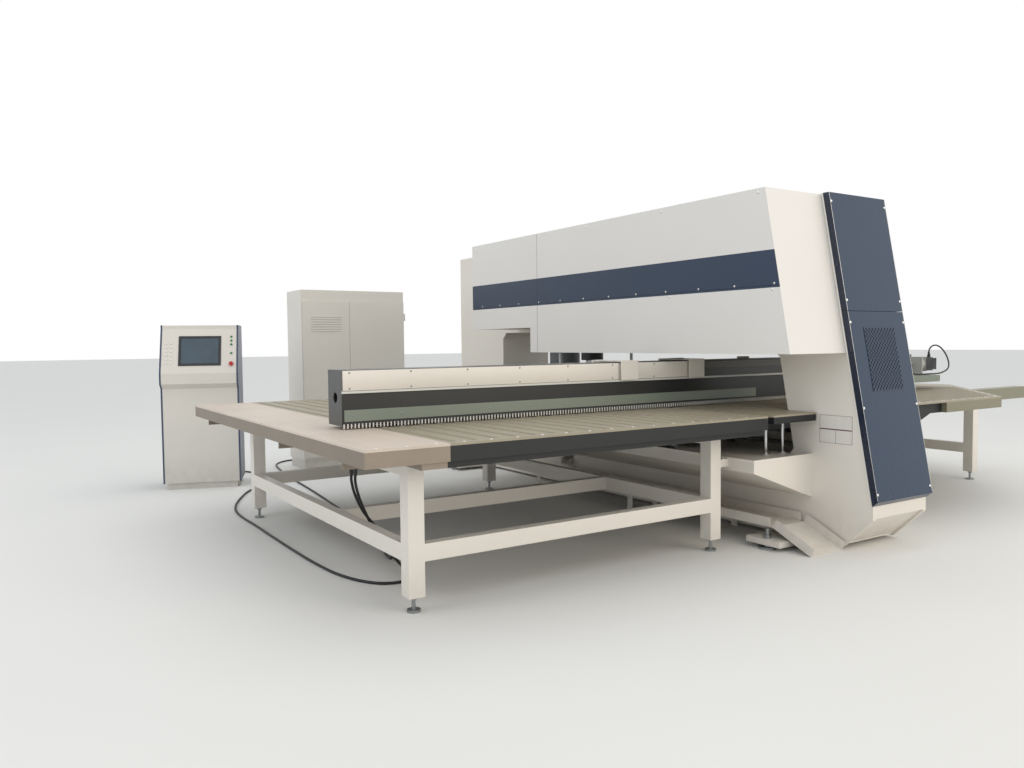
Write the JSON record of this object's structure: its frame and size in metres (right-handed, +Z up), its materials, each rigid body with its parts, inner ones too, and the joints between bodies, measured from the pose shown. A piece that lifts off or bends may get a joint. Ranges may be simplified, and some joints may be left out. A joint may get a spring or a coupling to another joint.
{
  "type": "cnc turret punch press",
  "caption": "Closed-frame CNC turret punch press: leaning covered front post, paired tool turrets, brush tables, cross beam with sheet clamps, console and cabinet.",
  "frame": {"origin": "centre of the machine's footprint, on the floor", "axes": "+X across the machine, along its longest extent, towards the right table; +Y from the covered front post to the rear; +Z up"},
  "size_m": [7.51, 6.4483, 2.31],
  "materials": {
    "side_plate_left": "satin",
    "side_plate_right": "satin",
    "frame_webs": "satin",
    "frame_feet": "satin",
    "levelling_feet": "satin",
    "front_cover_upper": "satin",
    "front_cover_lower": "satin",
    "side_cover_left_upper": "satin",
    "side_cover_left_lower": "satin",
    "side_cover_right": "satin",
    "cover_screws": "gloss",
    "side_shelves": "satin",
    "y_guides": "ground",
    "y_motor": "satin",
    "centre_table": "satin",
    "table_posts": "polished",
    "left_table": "brushed",
    "right_table": "satin",
    "table_frames": "satin",
    "table_brushes": "bristle",
    "end_beam": "satin",
    "scrap_chute": "satin",
    "upper_turret_housing": "painted",
    "lower_turret_housing": "painted",
    "turret_motors": "satin",
    "ram_housing": "satin",
    "index_pin_blocks": "painted",
    "work_holder_brackets": "painted",
    "console_body": "satin",
    "console_cheeks": "satin",
    "console_screen": "gloss",
    "cabinet_body": "satin",
    "console_cable": "matt",
    "cabinet_cable": "matt",
    "x_beam": "satin",
    "y_yoke": "satin",
    "x_guides": "ground",
    "x_motor": "satin",
    "x_motor_cable": "matt",
    "x_screw": "ground",
    "y_screw": "ground",
    "x_carriage": "satin",
    "clamp_bodies": "blackened",
    "clamp_jaw_1": "ground",
    "clamp_jaw_2": "ground",
    "clamp_jaw_3": "ground",
    "upper_turret": "machined",
    "punch_holders": "ground",
    "punch": "ground",
    "lower_turret": "machined",
    "die_holders": "ground",
    "ram": "ground",
    "upper_index_pin": "ground",
    "lower_index_pin": "ground",
    "work_holder_left": "ground",
    "work_holder_right": "ground",
    "gauge_pin": "ground",
    "cabinet_door": "satin",
    "estop_button": "gloss",
    "start_button": "gloss"
  },
  "bodies": {
    "frame": {"side_plate_left": "side_plate_left", "side_plate_right": "side_plate_right", "frame_webs": "frame_webs", "frame_feet": "frame_feet", "levelling_feet": "levelling_feet", "front_cover_upper": "front_cover_upper", "front_cover_lower": "front_cover_lower", "side_cover_left_upper": "side_cover_left_upper", "side_cover_left_lower": "side_cover_left_lower", "side_cover_right": "side_cover_right", "cover_screws": "cover_screws", "side_shelves": "side_shelves", "y_guides": "y_guides", "y_motor": "y_motor", "centre_table": "centre_table", "table_posts": "table_posts", "left_table": "left_table", "right_table": "right_table", "table_frames": "table_frames", "table_brushes": "table_brushes", "end_beam": "end_beam", "scrap_chute": "scrap_chute", "upper_turret_housing": "upper_turret_housing", "lower_turret_housing": "lower_turret_housing", "turret_motors": "turret_motors", "ram_housing": "ram_housing", "index_pin_blocks": "index_pin_blocks", "work_holder_brackets": "work_holder_brackets", "console_body": "console_body", "console_cheeks": "console_cheeks", "console_screen": "console_screen", "cabinet_body": "cabinet_body", "console_cable": "console_cable", "cabinet_cable": "cabinet_cable"},
    "crossbeam": {"x_beam": "x_beam", "y_yoke": "y_yoke", "x_guides": "x_guides", "x_motor": "x_motor", "x_motor_cable": "x_motor_cable"},
    "x_screw_body": {"x_screw": "x_screw"},
    "y_screw_body": {"y_screw": "y_screw"},
    "carriage": {"x_carriage": "x_carriage", "clamp_bodies": "clamp_bodies"},
    "jaw_1": {"clamp_jaw_1": "clamp_jaw_1"},
    "jaw_2": {"clamp_jaw_2": "clamp_jaw_2"},
    "jaw_3": {"clamp_jaw_3": "clamp_jaw_3"},
    "upper_turret_body": {"upper_turret": "upper_turret", "punch_holders": "punch_holders"},
    "punch_body": {"punch": "punch"},
    "lower_turret_body": {"lower_turret": "lower_turret", "die_holders": "die_holders"},
    "ram_body": {"ram": "ram"},
    "upper_index": {"upper_index_pin": "upper_index_pin"},
    "lower_index": {"lower_index_pin": "lower_index_pin"},
    "holder_left": {"work_holder_left": "work_holder_left"},
    "holder_right": {"work_holder_right": "work_holder_right"},
    "gauge": {"gauge_pin": "gauge_pin"},
    "door": {"cabinet_door": "cabinet_door"},
    "estop": {"estop_button": "estop_button"},
    "start": {"start_button": "start_button"}
  },
  "joints": [
    {"name": "y_slide", "type": "slide", "parent": "frame", "child": "crossbeam", "axis": [0, 1, 0], "range_m": [0, 1.25]},
    {"name": "y_screw_spin", "type": "hinge", "parent": "frame", "child": "y_screw_body", "pos_m": [-0.205, -0.42962, 0.61], "axis": [0, 1, 0], "range_deg": [-20, 11290]},
    {"name": "x_slide", "type": "slide", "parent": "crossbeam", "child": "carriage", "axis": [1, 0, 0], "range_m": [-1.9, 1.8]},
    {"name": "x_screw_spin", "type": "hinge", "parent": "crossbeam", "child": "x_screw_body", "pos_m": [-0.205, -1.47562, 1.11], "axis": [1, 0, 0], "range_deg": [-17160, 17160]},
    {"name": "clamp_jaw_1_swing", "type": "hinge", "parent": "carriage", "child": "jaw_1", "pos_m": [-1.295, -1.36662, 0.945], "axis": [1, 0, 0], "range_deg": [0, 12]},
    {"name": "clamp_jaw_2_swing", "type": "hinge", "parent": "carriage", "child": "jaw_2", "pos_m": [-0.655, -1.36662, 0.945], "axis": [1, 0, 0], "range_deg": [0, 12]},
    {"name": "clamp_jaw_3_swing", "type": "hinge", "parent": "carriage", "child": "jaw_3", "pos_m": [-0.015, -1.36662, 0.945], "axis": [1, 0, 0], "range_deg": [0, 12]},
    {"name": "upper_turret_spin", "type": "hinge", "parent": "frame", "child": "upper_turret_body", "pos_m": [-0.205, 0.57038, 0.98], "axis": [0, 0, 1], "continuous": true},
    {"name": "lower_turret_spin", "type": "hinge", "parent": "frame", "child": "lower_turret_body", "pos_m": [-0.205, 0.57038, 0.815], "axis": [0, 0, 1], "continuous": true},
    {"name": "ram_slide", "type": "slide", "parent": "frame", "child": "ram_body", "axis": [0, 0, -1], "range_m": [0, 0.036]},
    {"name": "punch_slide", "type": "slide", "parent": "upper_turret_body", "child": "punch_body", "axis": [0, 0, -1], "range_m": [0, 0.036]},
    {"name": "upper_index_slide", "type": "slide", "parent": "frame", "child": "upper_index", "axis": [0, -1, 0], "range_m": [0, 0.025]},
    {"name": "lower_index_slide", "type": "slide", "parent": "frame", "child": "lower_index", "axis": [0, -1, 0], "range_m": [0, 0.025]},
    {"name": "work_holder_left_press", "type": "slide", "parent": "frame", "child": "holder_left", "axis": [0, 0, -1], "range_m": [0, 0.04]},
    {"name": "work_holder_right_press", "type": "slide", "parent": "frame", "child": "holder_right", "axis": [0, 0, -1], "range_m": [0, 0.04]},
    {"name": "gauge_pin_lift", "type": "slide", "parent": "frame", "child": "gauge", "axis": [0, 0, 1], "range_m": [0, 0.04]},
    {"name": "cabinet_door_swing", "type": "hinge", "parent": "frame", "child": "door", "pos_m": [-1.026, 2.56138, 0.9], "axis": [0, 0, 1], "range_deg": [0, 110]},
    {"name": "estop_press", "type": "slide", "parent": "frame", "child": "estop", "axis": [0.3018, 0.8764, -0.3752], "range_m": [0, 0.004], "stiffness_N_per_m": 900},
    {"name": "start_press", "type": "slide", "parent": "frame", "child": "start", "axis": [0.3018, 0.8764, -0.3752], "range_m": [0, 0.004], "stiffness_N_per_m": 900}
  ],
  "couplings": [
    {"joint": "y_screw_spin", "follows": "y_slide", "rad_per_m": 157.08},
    {"joint": "x_screw_spin", "follows": "x_slide", "rad_per_m": 157.08},
    {"joint": "clamp_jaw_2_swing", "follows": "clamp_jaw_1_swing", "ratio": 1},
    {"joint": "clamp_jaw_3_swing", "follows": "clamp_jaw_1_swing", "ratio": 1},
    {"joint": "lower_turret_spin", "follows": "upper_turret_spin", "ratio": 1},
    {"joint": "punch_slide", "follows": "ram_slide", "ratio": 1},
    {"joint": "lower_index_slide", "follows": "upper_index_slide", "ratio": 1},
    {"joint": "work_holder_right_press", "follows": "work_holder_left_press", "ratio": 1}
  ]
}
